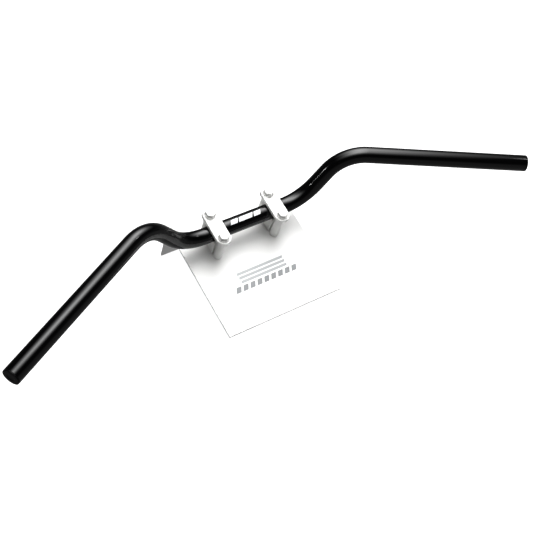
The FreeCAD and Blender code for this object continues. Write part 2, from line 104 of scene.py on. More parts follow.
class HandlebarBarSizes(bpy.types.PropertyGroup):
    diameter: length("Tube diameter", "Outside diameter of the bent tube", 0.0222)
    wall: length("Tube wall", "Wall of the tube", 0.002)
    bend_radius: length("Bend radius", "Radius of every bend on the centreline", 0.065)
    centre_half: length("Half centre", "Straight centre of the bar, from its middle to the bend", 0.0618)
    riser_angle: angle("Riser angle", "First bend, between the centre and the riser", 50.1)
    riser_lean: angle("Riser lean", "How far the riser plane leans back from upright", 13.7)
    riser_length: length("Riser", "Straight between the two bends of one side", 0.0234)
    grip_sweep: angle("Grip sweep", "How far the grips point back", 28.4)
    grip_drop: angle("Grip drop", "How far the grips point down", 5.7)
    grip_length: length("Grip seat", "Straight tube outside the second bend", 0.222)
    end_round: length("Tube end rounding", "Broken edge at the cut ends of the tube", 0.0003)
    plug_head: length("Plug head", "Length of an end plug outside the tube", 0.0016)
    plug_inset: length("Plug inset", "How much smaller the head is than the tube, all round", 0.0001)
    plug_round: length("Plug rounding", "Rounded edge of the plug's head", 0.0005)
    plug_stem: length("Plug stem", "Length of an end plug inside the tube", 0.026)
    plug_play: length("Plug play", "Between the stem and the bore", 0.0004)
    plug_wall: length("Plug wall", "Wall of the hollow stem", 0.0022)
    rib_pitch: length("Rib pitch", "Distance between the ribs of a stem", 0.006)
    rib_width: length("Rib width", "Width of a rib", 0.0016)
    rib_fit: length("Rib fit", "Between a rib and the bore", 0.00005)


class HandlebarClampSizes(bpy.types.PropertyGroup):
    offset: length("Clamp offset", "Middle of each clamp from the middle of the bar", 0.0455)
    width: length("Strap width", "Width of a strap along the bar", 0.021)
    thick: length("Strap thickness", "Thickness of a strap", 0.0055)
    edge: length("Strap edge", "Rounding of a strap's upper outline", 0.001)
    broken: length("Broken edge", "Rounding of the other outer edges", 0.0004)
    fit: length("Fit", "Between the tube and what holds it", 0.00005)
    floor: length("Saddle floor", "Metal under the bar", 0.02135)
    saddle: length("Saddle width", "Width of a saddle along the bar", 0.012)
    drop: length("Saddle drop", "From the bar's axis down to a saddle's upper faces", 0.004)
    saddle_play: length("Saddle play", "Between a saddle and a sleeve", 0.0002)
    sleeve: length("Sleeve", "Outside diameter of the sleeves", 0.012)
    sleeve_gap: length("Sleeve gap", "Between the tube and a sleeve", 0.0019)


class HandlebarBoltSizes(bpy.types.PropertyGroup):
    diameter: length("Thread", "Outside diameter of the thread", 0.008)
    pitch: length("Pitch", "Thread pitch", 0.00125)
    thread: length("Thread length", "Threaded end of the shank", 0.022)
    play: length("Play", "Between bolt and hole, all round", 0.00025)
    flats: length("Flats", "Width across the flats of heads and nuts", 0.013)
    head: length("Head", "Height of the head", 0.0053)
    past_nut: length("Past the nut", "Thread showing beyond the nut", 0.00215)
    washer: length("Washer", "Outside diameter of the washers", 0.016)
    washer_thick: length("Washer thickness", "Thickness of the washers", 0.0016)
    nut: length("Nut", "Height of the lock nut", 0.008)
    nut_hex: length("Nut hexagon", "Height of the nut's hexagon", 0.0058)
    thread_play: length("Thread play", "Between bolt and nut, all round", 0.00002)
    insert: length("Insert", "Height of the nylon ring", 0.0018)
    insert_wall: length("Insert wall", "Wall of the nylon ring", 0.0009)


class HandlebarStandSizes(bpy.types.PropertyGroup):
    width: length("Width", "Width of the sheet", 0.177)
    front: length("Front", "From under the bar to the front edge", 0.1319)
    rear: length("Rear", "From under the bar to the outside of the bend", 0.0463)
    flange: length("Flange", "Depth of the rear flange from the plate's top", 0.0745)
    thick: length("Sheet", "Thickness of the sheet", 0.0025)
    bend: length("Bend", "Inside radius of the bend", 0.0025)
    edge: length("Edge", "Rounding of the cut edges under the coating", 0.0005)
    film: length("Film", "Thickness of the printed films", 0.00015)
    slant: FloatProperty(name="Slant", description="Sideways lean of the printed shapes", default=0.5)
    badge_front: length("Badge place", "From under the bar to the badge's lower edge", 0.081)
    badge_length: length("Badge length", "Length of the row of dashes", 0.099)
    dash_width: length("Dash width", "Width of a dash", 0.0074)
    dash_height: length("Dash height", "Height of a dash", 0.008)
    dash_count: IntProperty(name="Dashes", description="Dashes in the row", default=9, min=2)
    stripe_gap: length("Stripe gap", "Between the dashes and the first stripe", 0.003)
    stripe_height: length("Stripe height", "Height of a stripe", 0.0038)
    stripe_pitch: length("Stripe pitch", "Distance between stripes", 0.0062)
    stripe_length: length("Stripe length", "Length of a stripe", 0.072)
    stripe_count: IntProperty(name="Stripes", description="Stripes above the dashes", default=3, min=1)
    decal_length: length("Decal length", "Length of the film on the tube", 0.046)
    decal_height: length("Decal height", "Height of the film on the tube", 0.0065)
    decal_gap: length("Decal gap", "Between the blocks of the film", 0.0024)
    decal_turn: angle("Decal turn", "From the top of the bar towards the rider", 25.0)


class HandlebarFinishes(bpy.types.PropertyGroup):
    enamel: colour("Black enamel", "Baked gloss enamel of the tube", "#070708")
    plug: colour("Plug", "Black moulded polyethylene", "#0b0b0c")
    film: colour("Tube film", "Silver white printed film", "#e6e8ea")
    ink: colour("Badge ink", "Grey of the dashes", "#828486")
    pale_ink: colour("Pale badge ink", "Grey of the stripes", "#a9abad")
    powder: colour("Powder coat", "White powder coat of the stand", "#f1f1f0")
    clamp: colour("Clamp enamel", "White enamel of the clamps", "#f3f3f1")
    bolt: colour("Bolt paint", "White paint of the bolt heads", "#efefed")
    zinc: colour("Zinc", "Bright zinc plating", "#c9ccce")
    nylon: colour("Nylon", "Natural nylon", "#dfe3e6")
    floor: colour("Studio floor", "Light table of white acrylic", "#8c8c8c")


class HandlebarStage(bpy.types.PropertyGroup):
    azimuth: angle("Azimuth", "Camera direction, 0 looks forward from the rider's side", -33.11)
    elevation: angle("Elevation", "Camera height above the horizon", 41.79)
    roll: angle("Roll", "Turn of the camera about its own axis", 0.99)
    distance: length("Distance", "Camera to target", 1.2416)
    target: FloatVectorProperty(name="Target", description="Aim point from the bar's middle",
                                default=(0.0042, -0.0511, -0.0454), subtype="TRANSLATION")
    lens: FloatProperty(name="Lens", description="Focal length on a 36 mm sensor", default=62.26,
                        unit="CAMERA")


class HandlebarSettings(bpy.types.PropertyGroup):
    bar: PointerProperty(type=HandlebarBarSizes)
    clamp: PointerProperty(type=HandlebarClampSizes)
    bolt: PointerProperty(type=HandlebarBoltSizes)
    stand: PointerProperty(type=HandlebarStandSizes)
    finish: PointerProperty(type=HandlebarFinishes)
    stage: PointerProperty(type=HandlebarStage)


def settings():
    return bpy.context.scene.handlebar


# ---- places worked out from the sizes ---------------------------------------------------------

def stand_tilt():
    """Slope of the plate: it rests on its lower front corner and the flange's inner corner."""
    stand = settings().stand
    return math.atan2(stand.flange - stand.thick, stand.front + stand.rear - stand.thick)


def bolt_offset():
    s = settings()
    return s.bar.diameter / 2 + s.clamp.sleeve_gap + s.clamp.sleeve / 2


def strap_base():
    return settings().bar.diameter / 2 + settings().clamp.fit


def strap_top():
    return strap_base() + settings().clamp.thick


def axis_height():
    s = settings()
    return s.bar.diameter / 2 + s.clamp.fit + s.clamp.floor


def under_plate():
    return axis_height() + settings().stand.thick


def from_stand(points):
    """Row-frame places of points given as x, along, above: a turn by the tilt about the bar's axis."""
    tilt = stand_tilt()
    x, along, above = np.moveaxis(np.asarray(points, float), -1, 0)
    return AXIS + np.stack([
        x,
        along * math.cos(tilt) - above * math.sin(tilt),
        along * math.sin(tilt) + above * math.cos(tilt),
    ], axis=-1)


def bolt_places():
    """The four bolts as side, end, and their places across and along the plate."""
    for side, across in SIDES.items():
        for end, along in ENDS.items():
            yield side, end, across * settings().clamp.offset, along * bolt_offset()


def riser_direction():
    bar = settings().bar
    up = math.sin(bar.riser_angle)
    return np.array([math.cos(bar.riser_angle), -up * math.sin(bar.riser_lean),
                     up * math.cos(bar.riser_lean)])


def grip_direction():
    bar = settings().bar
    out = math.cos(bar.grip_drop)
    return np.array([out * math.cos(bar.grip_sweep), -out * math.sin(bar.grip_sweep),
                     -math.sin(bar.grip_drop)])


def half_centreline():
    """Stations of the right half from the middle outwards, as points and unit tangents.

    A straight run holds its direction. An arc of radius r from direction a to direction b is
    centre + r * (sin(k) * a - cos(k) * c), with c the unit vector from the start to the centre,
    and k from 0 to the angle between a and b.
    """
    bar = settings().bar
    along = np.array([1.0, 0.0, 0.0])
    point = np.zeros(3)
    run = bar.centre_half
    points = [point]
    tangents = [along]
    for leaving in (riser_direction(), grip_direction()):
        point = point + along * run
        turn = math.acos(float(along @ leaving))
        across = leaving - along * (along @ leaving)
        across /= np.linalg.norm(across)
        k = np.linspace(0, turn, 2 + int(turn / ARC_STEP))[:, None]
        points.extend(point + bar.bend_radius * (np.sin(k) * along + (1 - np.cos(k)) * across))
        tangents.extend(np.cos(k) * along + np.sin(k) * across)
        point = points[-1]
        along = leaving
        run = bar.riser_length
    points.append(point + along * bar.grip_length)
    tangents.append(along)
    return np.array(points), np.array(tangents)


def whole_centreline():
    """The right half with its mirror image in front of it, from the left end to the right end."""
    points, tangents = half_centreline()
    mirror = np.array([-1.0, 1.0, 1.0])
    left_points = points[:0:-1] * mirror
    left_tangents = tangents[:0:-1] * -mirror
    return np.vstack([left_points, points]) + AXIS, np.vstack([left_tangents, tangents])


# ---- surfaces ---------------------------------------------------------------------------------

def grid_faces(rows, columns, first, join_rows):
    """Quads of a grid whose columns close on themselves; the last row joins the first on request."""
    row = np.arange(rows if join_rows else rows - 1)[:, None]
    column = np.arange(columns)[None, :]
    next_row = (row + 1) % rows
    next_column = (column + 1) % columns
    corners = (row * columns + column, row * columns + next_column,
               next_row * columns + next_column, next_row * columns + column)
    return first + np.stack([np.broadcast_to(c, (row.size, columns)) for c in corners], -1).reshape(-1, 4)


def make_piece(name, grids, material, body, replaced, crease=30.0, close_ends=False):
    """A closed mesh from grids of points, each (rows, columns, 3) or (grid, join_rows).

    Rows that shrink to a point or a line are merged, normals are set outwards, and edges
    sharper than the crease angle stay sharp.
    """
    finish_piece(name, mesh_from_grids(name, grids, close_ends), material, body, replaced, crease)


def mesh_from_grids(name, grids, close_ends=False):
    points = []
    faces = []
    count = 0
    for grid, join_rows in grids:
        rows, columns = grid.shape[:2]
        points.append(grid.reshape(-1, 3))
        faces.extend(grid_faces(rows, columns, count, join_rows).tolist())
        if close_ends:
            faces.append(list(range(count + columns - 1, count - 1, -1)))
            faces.append(list(range(count + (rows - 1) * columns, count + rows * columns)))
        count += rows * columns
    mesh = bpy.data.meshes.new(name)
    mesh.from_pydata(np.vstack(points), [], faces)
    tidy_mesh(mesh)
    return mesh


def tidy_mesh(mesh, gap=2e-7):
    """Merges doubled points, drops faces without area and turns all faces outwards."""
    work = bmesh.new()
    work.from_mesh(mesh)
    bmesh.ops.remove_doubles(work, verts=work.verts, dist=gap)
    bmesh.ops.dissolve_degenerate(work, edges=work.edges, dist=gap)
    bmesh.ops.recalc_face_normals(work, faces=work.faces)
    work.to_mesh(mesh)
    work.free()


def finish_piece(name, mesh, material, body, replaced, crease=30.0):
    mesh.shade_smooth()
    mesh.set_sharp_from_angle(angle=math.radians(crease))
    mesh.materials.clear()
    mesh.materials.append(material)
    piece = bpy.data.objects.new(name, mesh)
    bpy.context.scene.collection.objects.link(piece)
    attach(piece, body)
    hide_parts(*replaced)


def quarter_turn(radius, steps):
    """A rounded edge over k from 0 to 90 degrees, as what it takes off the face, radius * (1 - cos(k)),
    and how far it is from the end, radius * (1 - sin(k))."""
    k = np.linspace(0, math.pi / 2, steps + 1)
    return radius * (1 - np.cos(k)), radius * (1 - np.sin(k))


def eased_path(points, tangents, radius, steps):
    """A path with both ends rounded off, as points, tangents and insets: towards an end the inset
    grows as the edge of a quarter turn does, and the last row lies at the end itself."""
    inset, back = quarter_turn(radius, steps)
    first = points[0] + tangents[0] * back[::-1, None]
    last = points[-1] - tangents[-1] * back[:, None]
    between = len(points) - 2
    count = [steps + 1] + [1] * between + [steps + 1]
    return (np.vstack([first, points[1:-1], last]), np.repeat(tangents, count, axis=0),
            np.concatenate([inset[::-1], np.zeros(between), inset]))


def round_corners(corners, radii, steps=5):
    """Open outline through the corners, each rounded by a tangent arc of its own radius.

    The arc starts r * tan(turn / 2) before the corner, and its points are start + r * (sin(k) * a
    + (1 - cos(k)) * c), with a the incoming direction and c the unit vector square to it on the
    side of the turn, and k from 0 to the turn.
    """
    corners = np.asarray(corners, float)
    out = [corners[0][None]]
    for before, corner, after, radius in zip(corners, corners[1:], corners[2:], radii):
        a = (corner - before) / np.linalg.norm(corner - before)
        b = (after - corner) / np.linalg.norm(after - corner)
        turn = math.acos(float(np.clip(a @ b, -1, 1)))
        if radius <= 0 or turn < 1e-6:
            out.append(corner[None])
            continue
        c = (b - a * (a @ b)) / math.sin(turn)
        k = np.linspace(0, turn, steps + 1)[:, None]
        start = corner - a * radius * math.tan(turn / 2)
        out.append(start + radius * (np.sin(k) * a + (1 - np.cos(k)) * c))
    out.append(corners[-1][None])
    return np.vstack(out)


def lathe(profile, sides=64):
    """Turns a profile of (radius, height) pairs: x = r cos(k), y = r sin(k), z = height."""
    r, height = np.asarray(profile, float).T[:, :, None]
    return around(np.arange(sides) * math.tau / sides, r, height)


def around(k, r, height, x=0.0, y=0.0):
    """Points (x + r * cos(k), y + r * sin(k), height), worked out for whole arrays."""
    return np.stack(np.broadcast_arrays(x + r * np.cos(k), y + r * np.sin(k), height), axis=-1)


def upright(profile, sides, across, along):
    """A turned shape in the row frame, with its axis square to the plate."""
    return from_stand(lathe(profile, sides) + (across, along, 0.0))


def place_along(points, origin, direction):
    """Moves points drawn about +Z so that Z runs along the direction from the origin."""
    third = np.asarray(direction, float)
    first = np.cross([0.0, 1.0, 0.0], third)
    first /= np.linalg.norm(first)
    second = np.cross(third, first)
    return origin + points[..., :1] * first + points[..., 1:2] * second + points[..., 2:] * third


def subtract(mesh, cutters):
    """The mesh with closed cutter meshes taken away, as a new mesh."""
    scene = bpy.context.scene.collection.objects
    target = bpy.data.objects.new(mesh.name, mesh)
    scene.link(target)
    tools = []
    for cutter in cutters:
        tool = bpy.data.objects.new("cutter", cutter)
        scene.link(tool)
        tools.append(tool)
        modifier = target.modifiers.new("cut", "BOOLEAN")
        modifier.operation = "DIFFERENCE"
        modifier.solver = "EXACT"
        modifier.object = tool
    bpy.context.view_layer.update()
    graph = bpy.context.evaluated_depsgraph_get()
    result = bpy.data.meshes.new_from_object(target.evaluated_get(graph), depsgraph=graph)
    for thing in (target, *tools):
        bpy.data.objects.remove(thing)
    return result


# ---- materials --------------------------------------------------------------------------------

def add(tree, kind, inputs, **values):
    """Adds a shader node; an input given as a socket is linked, any other is set."""
    node = tree.nodes.new("ShaderNode" + kind)
    for name, value in values.items():
        setattr(node, name, value)
    for name, value in inputs.items():
        if isinstance(value, bpy.types.NodeSocket):
            tree.links.new(value, node.inputs[name])
        else:
            node.inputs[name].default_value = value
    return node


def noise(tree, place, spacing, detail, **values):
    """Value of a noise whose features are this many millimetres apart."""
    scale = 1000.0 / spacing
    return add(tree, "TexNoise", {"Vector": place, "Scale": scale, "Detail": detail, **values}).outputs[0]


def shaded(name, inputs):
    """The named material, made when it is first asked for: inputs(tree, place) gives its shader's
    inputs, with place the object coordinates in metres."""
    material = bpy.data.materials.get(name)
    if material is None:
        material = bpy.data.materials.new(name)
        material.use_nodes = True
        tree = material.node_tree
        tree.nodes.clear()
        place = add(tree, "TexCoord", {}).outputs["Object"]
        shader = add(tree, "BsdfPrincipled", inputs(tree, place))
        add(tree, "OutputMaterial", {"Surface": shader.outputs["BSDF"]})
    return material


def coated(name, finish, roughness, grain, depth, tint=0.06, ior=1.5, coat=0.0, glow=0.0):
    """A paint or powder film: a slightly uneven colour, darker by up to the tint, under a skin with
    a fine ripple whose grain is in millimetres and whose depth is in metres."""
    full = tuple(getattr(settings().finish, finish))
    darker = tuple(c * (1 - tint) for c in full[:3]) + (1.0,)

    def inputs(tree, place):
        shade = add(tree, "Mix", {"Factor": noise(tree, place, CLOUD, 3.0), "A": darker, "B": full},
                    data_type="RGBA")
        ripple = noise(tree, place, grain, 2.0, Roughness=0.45)
        bump = add(tree, "Bump", {"Height": ripple, "Distance": depth})
        return {"Base Color": shade.outputs["Result"], "Roughness": roughness, "IOR": ior,
                "Emission Strength": glow, "Coat Weight": coat, "Coat Roughness": COAT_ROUGHNESS,
                "Normal": bump.outputs["Normal"], "Coat Normal": bump.outputs["Normal"]}
    return shaded(name, inputs)


CLOUD = 35.0             # millimetres between the patches of uneven colour
SPANGLE = 1.2            # millimetres between the crystals of the zinc
ZINC_ROUGHNESS = {"To Min": 0.26, "To Max": 0.42}
COAT_ROUGHNESS = 0.2
INK_ROUGHNESS = 0.3


# Deep black with a tight, narrow shine: reads as smooth baked paint on steel.
def black_enamel():
    return coated("baked_black_enamel", "enamel", roughness=0.14, grain=2.5, depth=4e-6, ior=1.6)


# Even soft white with no sharp reflection: reads as powder coat on bent sheet.
def white_powder_coat():
    return coated("white_powder_coat", "powder", roughness=0.42, grain=0.9, depth=8e-6, tint=0.02)


# White a little glossier than the sheet: sets the straps and sleeves apart from the plate.
def white_clamp_enamel():
    return coated("white_enamel_on_casting", "clamp", roughness=0.36, grain=1.4, depth=6e-6,
                  tint=0.02, coat=0.2)


# Slightly warmer, uneven white: the heads read as steel that was painted over.
def white_bolt_paint():
    return coated("white_paint_on_steel", "bolt", roughness=0.38, grain=1.1, depth=5e-6, tint=0.03)


# Dull black with a fine grain: tells the moulded plugs from the glossy tube.
def moulded_black():
    return coated("moulded_black_polyethylene", "plug", roughness=0.5, grain=0.5, depth=1e-5, ior=1.35)


# Flat satin silver with a crisp edge: reads as a thin printed film on the tube.
def silver_film():
    return coated("silver_white_film", "film", roughness=0.3, grain=1.6, depth=2e-6, tint=0.03)


# Milky and soft: the lock rings read as plastic inside the nuts.
def natural_nylon():
    return coated("natural_nylon", "nylon", roughness=0.4, grain=0.7, depth=5e-6)


# Even glow without reflections: the floor reads as a light table that is lit from below.
def lit_acrylic():
    return coated("lit_white_acrylic", "floor", roughness=0.9, grain=2.0, depth=1e-6, tint=0.005,
                  glow=FLOOR_GLOW)


# Flat greys that stay duller than the powder coat: reads as print on the plate.
def badge_ink():
    """Two greys by the distance up the plate: the dashes are darker than the stripes above them."""
    s = settings()
    up_plate = (0.0, math.cos(stand_tilt()), math.sin(stand_tilt()))
    edge = -s.stand.badge_front + s.stand.dash_height + s.stand.stripe_gap / 2 + float(AXIS @ up_plate)

    def inputs(tree, place):
        along = add(tree, "VectorMath", {0: place, 1: up_plate}, operation="DOT_PRODUCT")
        upper = add(tree, "Math", {0: along.outputs["Value"], 1: edge}, operation="GREATER_THAN")
        grey = add(tree, "Mix", {"Factor": upper.outputs["Value"], "A": tuple(s.finish.ink),
                                 "B": tuple(s.finish.pale_ink)}, data_type="RGBA")
        return {"Base Color": grey.outputs["Result"], "Roughness": INK_ROUGHNESS}
    return shaded("grey_printed_film", inputs)


# Mirror broken up by fine spangle: reads as plated steel under the plate.
def bright_zinc():
    def inputs(tree, place):
        spangle = noise(tree, place, SPANGLE, 3.0)
        rough = add(tree, "MapRange", {"Value": spangle, **ZINC_ROUGHNESS})
        return {"Base Color": tuple(settings().finish.zinc), "Metallic": 1.0,
                "Roughness": rough.outputs["Result"]}
    return shaded("bright_zinc_plate", inputs)


# ---- bar --------------------------------------------------------------------------------------

def tube_grid():
    """A circle carried along the centreline, out along the outside and back along the bore.

    A point is centre + r * (cos(k) * n + sin(k) * m), with n the part of +Y square to the
    tangent and m square to both. At the cut ends the radius follows the broken edge.
    """
    bar = settings().bar
    centre, tangent, inset = eased_path(*whole_centreline(), bar.end_round, 3)
    outside = bar.diameter / 2 - inset
    bore = bar.diameter / 2 - bar.wall + inset
    radius = np.concatenate([outside, bore[::-1]])[:, None, None]
    centre = np.vstack([centre, centre[::-1]])[:, None, :]
    tangent = np.vstack([tangent, tangent[::-1]])
    forward = np.array([0.0, 1.0, 0.0])
    n = forward - tangent * (tangent @ forward)[:, None]
    n /= np.linalg.norm(n, axis=1)[:, None]
    m = np.cross(tangent, n)
    k = np.arange(ROUND_SIDES)[:, None] * math.tau / ROUND_SIDES
    return centre + radius * (np.cos(k) * n[:, None, :] + np.sin(k) * m[:, None, :])


class HANDLEBAR_OT_tube(bpy.types.Operator):
    """Bends the tube: straight centre, risers and swept grips, hollow from end to end"""
    bl_idname = "handlebar.tube"
    bl_label = "Bent tube"

    def execute(self, context):
        make_piece("bar_tube", [(tube_grid(), True)], black_enamel(), "bar",
                   ["handlebar_tube"])
        return {"FINISHED"}


def plug_profile():
    """Half section of an end plug as (radius, height), height 0 at the tube's end face."""
    bar = settings().bar
    head = bar.diameter / 2 - bar.plug_inset
    bore = bar.diameter / 2 - bar.wall
    stem = bore - bar.plug_play
    core = stem - bar.plug_wall
    top = bar.plug_head
    low = top - DISH_DEPTH
    outline = [(0.0, low), (head * 0.4, low), (head * 0.5, top), (head, top), (head, 0.0), (stem, 0.0)]
    radii = [DISH_ROUND, DISH_ROUND, bar.plug_round, 0.0, 0.0]
    for k in range(1, int(bar.plug_stem / bar.rib_pitch) + 1):
        high = -k * bar.rib_pitch + bar.rib_width
        outline += [(stem, high), (bore - bar.rib_fit, high), (bore - bar.rib_fit, high - bar.rib_width),
                    (stem, high - bar.rib_width)]
        radii += [0.0, RIB_ROUND, RIB_ROUND, 0.0]
    outline += [(stem, -bar.plug_stem), (core, -bar.plug_stem), (core, 0.0), (0.0, 0.0)]
    radii += [STEM_ROUND] * 3
    return round_corners(outline, radii, 4)


# An end plug: depth and rounding of the dish in its head, rounding of its ribs and of its stem.
DISH_DEPTH = 0.0005
DISH_ROUND = 0.0006
RIB_ROUND = 0.0003
STEM_ROUND = 0.0004


class HANDLEBAR_OT_plugs(bpy.types.Operator):
    """Moulds the two end plugs with their ribbed stems"""
    bl_idname = "handlebar.plugs"
    bl_label = "End plugs"

    def execute(self, context):
        turned = lathe(plug_profile(), TURNED_SIDES)
        tube_end = half_centreline()[0][-1]
        for side, mirror in SIDES.items():
            flip = np.array([mirror, 1.0, 1.0])
            grid = place_along(turned, tube_end * flip + AXIS, grip_direction() * flip)
            make_piece(f"bar_plug_{side}", [(grid, False)], moulded_black(), "bar",
                       [f"{side}_end_plug"])
        return {"FINISHED"}


class HANDLEBAR_OT_decal(bpy.types.Operator):
    """Lays the printed film on the top of the tube between the straps"""
    bl_idname = "handlebar.decal"
    bl_label = "Film on the tube"

    def execute(self, context):
        s = settings()
        block = (s.stand.decal_length - 2 * s.stand.decal_gap) / 4
        half = s.stand.decal_length / 2
        spans = ((-half, -block - s.stand.decal_gap), (-block, block), (block + s.stand.decal_gap, half))
        make_piece("bar_decal", [(film_on_tube(*span), True) for span in spans],
                   silver_film(), "bar", ["centre_decal"], crease=40.0)
        return {"FINISHED"}


def film_on_tube(low, high):
    """A slanted patch on the tube, as closed rings that follow each other along the bar.

    At a place w across the film the angle from the top is asin(w / radius), and the patch runs from
    low + slant * w to high + slant * w along the bar. A ring goes across the outer face and back
    across the inner face. The first and the last ring lie midway between the two faces. They are
    joined to each other as well, which leaves a hidden sheet inside the film.
    """
    s = settings()
    radius = s.bar.diameter / 2
    w = np.linspace(-0.5, 0.5, 13) * s.stand.decal_height
    along = np.linspace(0.0, 1.0, 9)
    turn = np.arcsin(w / radius)
    x = low + (high - low) * along[:, None] + s.stand.slant * w[None, :]
    outer, inner = (np.stack(np.broadcast_arrays(x, r * np.sin(turn), r * np.cos(turn)), axis=-1)
                    for r in (radius + s.stand.film, radius))
    middle = (outer + inner) / 2
    ring = np.concatenate([outer, inner[:, ::-1]], axis=1)
    ends = np.concatenate([middle, middle[:, ::-1]], axis=1)
    ring = np.concatenate([ends[:1], ring, ends[-1:]])
    c, n = math.cos(s.stand.decal_turn), math.sin(s.stand.decal_turn)
    y = ring[..., 1] * c - ring[..., 2] * n
    z = ring[..., 1] * n + ring[..., 2] * c
    return AXIS + np.stack([ring[..., 0], y, z], axis=-1)


# ---- clamps -----------------------------------------------------------------------------------

def slot_rings(across, reach, half_width, levels):
    """Round-ended rings stacked by (inset, height): half circles of radius half_width - inset
    about the two bolt places, joined by straight flanks."""
    k = (np.arange(ROUND_SIDES) + 0.5) * math.tau / ROUND_SIDES
    centre = np.where(np.sin(k) > 0, reach, -reach)
    inset, height = np.asarray(levels, float).T[:, :, None]
    return around(k, half_width - inset, height, across, centre)


def edge_levels(half_width, low, high, low_round, high_round):
    """Inset and height pairs from the middle of the lower face over both rounded edges."""
    rise, inset = quarter_turn(low_round, 5)
    lower = np.stack([inset, low + rise], axis=1)
    inset, fall = quarter_turn(high_round, 5)
    upper = np.stack([inset, high - fall], axis=1)
    return np.vstack([[(half_width, low)], lower, upper, [(half_width, high)]])


def bolt_hole():
    return settings().bolt.diameter / 2 + settings().bolt.play


def hole_tools(places, low, high):
    """Closed round tools for the bolt holes at these places, between two heights."""
    pin = [(0.0, low), (bolt_hole(), low), (bolt_hole(), high), (0.0, high)]
    return [mesh_from_grids("hole_tool", [(upright(pin, HOLE_SIDES, *place), False)])
            for place in places]


PAST_STRAP = 0.05        # height of a strap's hole tools above the bar's axis
PAST_SHEET = 0.002       # how far the sheet's hole tools pass its two faces


def saddle_section(inset):
    """Section of a saddle square to the bar, as pairs (along, above), all faces moved in by the inset.

    The seat is the lower part of a circle of radius seat + inset about the bar's axis; it ends
    where it meets the two upper faces.
    """
    s = settings()
    half = bolt_offset() - s.clamp.sleeve / 2 - s.clamp.saddle_play - inset
    seat = s.bar.diameter / 2 + s.clamp.fit + inset
    top = -s.clamp.drop - inset
    start = math.asin(-top / seat)
    k = np.linspace(math.pi + start, math.tau - start, 49)
    foot = -axis_height() + inset
    return np.vstack([
        np.stack([seat * np.cos(k), seat * np.sin(k)], axis=1),
        [(half, top), (half, foot), (-half, foot), (-half, top)],
    ])


def saddle_grid(across):
    """Saddle sections carried along the bar, their faces moved in at both ends by the broken edge."""
    clamp = settings().clamp
    half = clamp.saddle / 2
    places, _, insets = eased_path(np.array([[-half], [half]]), np.ones((2, 1)), clamp.broken, 3)
    return np.stack([np.insert(saddle_section(i), 0, across + x, axis=1)
                     for (x,), i in zip(places, insets)])


class HANDLEBAR_OT_straps(bpy.types.Operator):
    """Makes the two flat straps that lie on the tube, drilled for their bolts"""
    bl_idname = "handlebar.straps"
    bl_label = "Straps"

    def execute(self, context):
        clamp = settings().clamp
        half = clamp.width / 2
        levels = edge_levels(half, strap_base(), strap_top(), clamp.broken, clamp.edge)
        for side, mirror in SIDES.items():
            across = mirror * clamp.offset
            rings = slot_rings(across, bolt_offset(), half, levels)
            solid = mesh_from_grids(f"strap_{side}", [(from_stand(rings), False)])
            places = [(across, end * bolt_offset()) for end in ENDS.values()]
            drilled = subtract(solid, hole_tools(places, 0.0, PAST_STRAP))
            finish_piece(f"strap_{side}", drilled, white_clamp_enamel(), "stand",
                         [f"{side}_clamp_strap"])
        return {"FINISHED"}


class HANDLEBAR_OT_saddles(bpy.types.Operator):
    """Makes the two saddles that carry the tube"""
    bl_idname = "handlebar.saddles"
    bl_label = "Saddles"

    def execute(self, context):
        for side, mirror in SIDES.items():
            grid = from_stand(saddle_grid(mirror * settings().clamp.offset))
            make_piece(f"saddle_{side}", [(grid, False)], white_clamp_enamel(), "stand",
                       [f"{side}_clamp_saddle"], close_ends=True)
        return {"FINISHED"}


class HANDLEBAR_OT_sleeves(bpy.types.Operator):
    """Makes the sleeves round the four bolts, between the straps and the plate"""
    bl_idname = "handlebar.sleeves"
    bl_label = "Sleeves"

    def execute(self, context):
        s = settings()
        section = ring_profile(bolt_hole(), s.clamp.sleeve / 2, -axis_height(), strap_base(),
                               s.clamp.broken)
        for side, end, *place in bolt_places():
            grid = upright(section, TURNED_SIDES, *place)
            make_piece(f"sleeve_{side}_{end}", [(grid, True)], white_clamp_enamel(), "stand",
                       [f"{side}_{end}_sleeve"])
        return {"FINISHED"}


# ---- fasteners --------------------------------------------------------------------------------

def hexagon_radius(k, flats):
    """Distance to a hexagon with slightly rounded corners: a p-norm of its three widths."""
    power = 60.0         # the higher, the sharper the corners
    widths = np.stack([np.abs(np.cos(k - turn)) for turn in (0.0, math.pi / 3, 2 * math.pi / 3)])
    return flats / 2 / (widths ** power).sum(0) ** (1 / power)


def hexagon_rows(k, flats, low, high):
    """Rows (radius, height) of a hexagon between two heights whose corners are cut at 30 degrees.

    Both flat end faces have the radius rim = END_FACE * flats; the cut falls from them and meets
    each side at depth (side - rim) * tan(30 degrees).
    """
    side = hexagon_radius(k, flats)
    rim = END_FACE * flats
    depth = np.maximum(side - rim, 0) * math.tan(math.pi / 6)
    return [(rim, low), (side, low + depth), (side, high - depth), (rim, high)]


# Radii in widths across the flats: a hexagon's flat end face, the round face under a bolt head,
# and the floor and the edge of the dish on top of it.
END_FACE = 0.475
WASHER_FACE = 0.46
DISH_FLOOR = 0.36
DISH_EDGE = 0.40

# Depth of a thread in pitches, and rows to a pitch.
THREAD_DEPTH = 0.613
THREAD_STEPS = 8

# Steps and rounded edges of the bolts and nuts.
HEAD_STEP = 0.0003
NUT_CUT = 0.0004
COLLAR_ROUND = 0.0011
WASHER_EDGE = 0.00025
INSERT_EDGE = 0.0001


def angles_round():
    """Angles of the points round a bolt or nut, half a step off its flats."""
    return (np.arange(ROUND_SIDES) + 0.5) * math.tau / ROUND_SIDES


